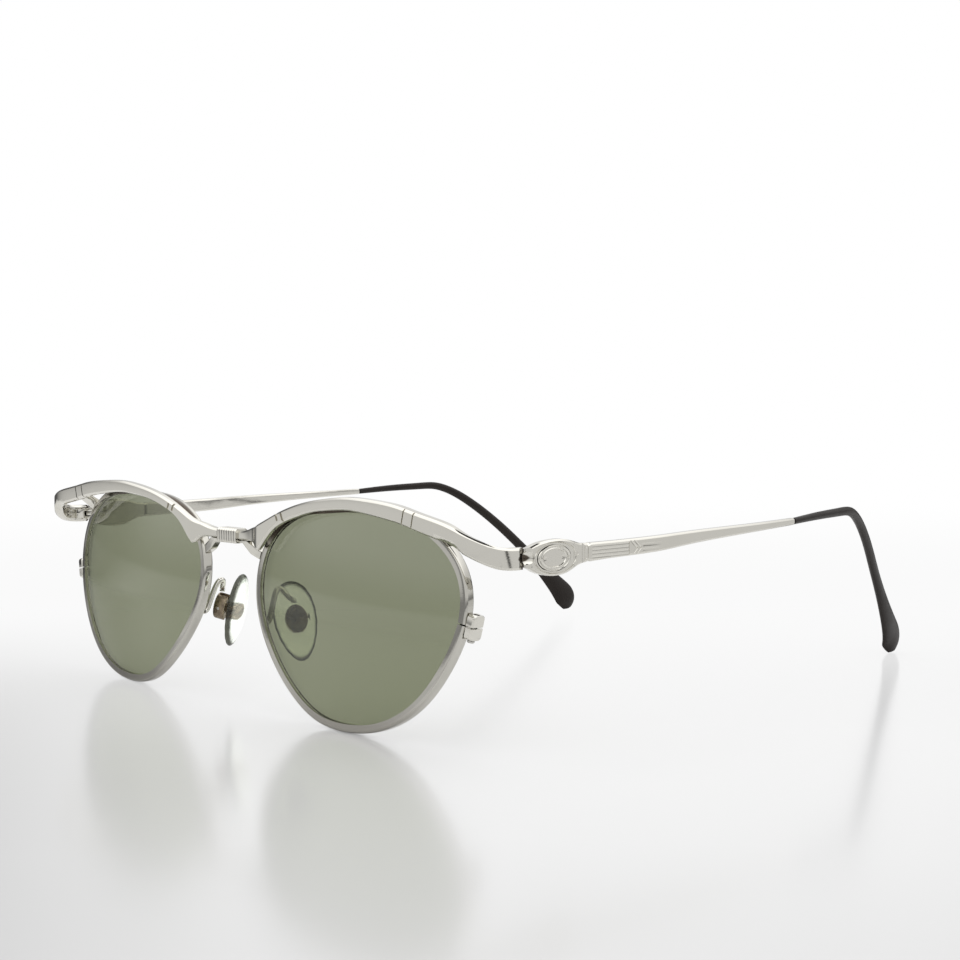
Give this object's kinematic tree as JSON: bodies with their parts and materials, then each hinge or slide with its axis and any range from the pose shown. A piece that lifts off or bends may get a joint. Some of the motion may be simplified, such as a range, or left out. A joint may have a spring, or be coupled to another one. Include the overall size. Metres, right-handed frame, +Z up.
{
  "type": "sunglasses",
  "caption": "Round metal sunglasses with a ribbed bridge collar, sculpted brow bar, grey-green lenses, rocking nose pads and folding temples with dark ear sleeves.",
  "frame": {"origin": "centre of the bounding box at the table on which the rims and the temple tips stand", "axes": "-Y is the front of the glasses, where the wearer looks; +Y runs back along the open temples; +X is the wearer's left; +Z is up"},
  "size_m": [0.1334, 0.1399, 0.0387],
  "materials": {
    "bright_metal": "polished, warm silver plating",
    "screw_steel": "turned steel",
    "lens_glass": "polished grey-green tinted glass",
    "pad_silicone": "clear satin silicone",
    "sleeve_plastic": "satin black-brown"
  },
  "bodies": {
    "front": {"brow_bar": "bright_metal", "bridge_collar": "bright_metal", "left_rim": "bright_metal", "left_lens": "lens_glass", "left_rim_lock_upper": "bright_metal", "left_rim_lock_lower": "bright_metal", "left_rim_lock_screw": "screw_steel", "left_bridge_lug": "bright_metal", "left_end_lug": "bright_metal", "left_pad_arm": "bright_metal", "left_pad_box": "bright_metal", "left_pad_screw": "screw_steel", "left_front_hinge": "bright_metal", "left_hinge_screw": "screw_steel", "right_rim": "bright_metal", "right_lens": "lens_glass", "right_rim_lock_upper": "bright_metal", "right_rim_lock_lower": "bright_metal", "right_rim_lock_screw": "screw_steel", "right_bridge_lug": "bright_metal", "right_end_lug": "bright_metal", "right_pad_arm": "bright_metal", "right_pad_box": "bright_metal", "right_pad_screw": "screw_steel", "right_front_hinge": "bright_metal", "right_hinge_screw": "screw_steel"},
    "left_temple_arm": {"left_temple": "bright_metal", "left_temple_plaque": "bright_metal", "left_temple_hinge": "bright_metal", "left_sleeve": "sleeve_plastic"},
    "right_temple_arm": {"right_temple": "bright_metal", "right_temple_plaque": "bright_metal", "right_temple_hinge": "bright_metal", "right_sleeve": "sleeve_plastic"},
    "left_pad": {"left_nose_pad": "pad_silicone", "left_pad_stud": "screw_steel"},
    "right_pad": {"right_nose_pad": "pad_silicone", "right_pad_stud": "screw_steel"}
  },
  "joints": [
    {"name": "left_fold", "type": "hinge", "parent": "front", "child": "left_temple_arm", "pos_m": [0.06345, -0.05981, 0.03035], "axis": [0, 0, 1], "range_deg": [0, 85]},
    {"name": "right_fold", "type": "hinge", "parent": "front", "child": "right_temple_arm", "pos_m": [-0.06345, -0.05981, 0.03035], "axis": [0, 0, -1], "range_deg": [0, 78]},
    {"name": "left_pad_rock", "type": "hinge", "parent": "front", "child": "left_pad", "pos_m": [0.01197, -0.062, 0.01587], "axis": [0.5088, 0.8467, 0.1556], "range_deg": [-10, 10]},
    {"name": "right_pad_rock", "type": "hinge", "parent": "front", "child": "right_pad", "pos_m": [-0.01197, -0.062, 0.01587], "axis": [0.5088, -0.8467, -0.1556], "range_deg": [-10, 10]}
  ]
}
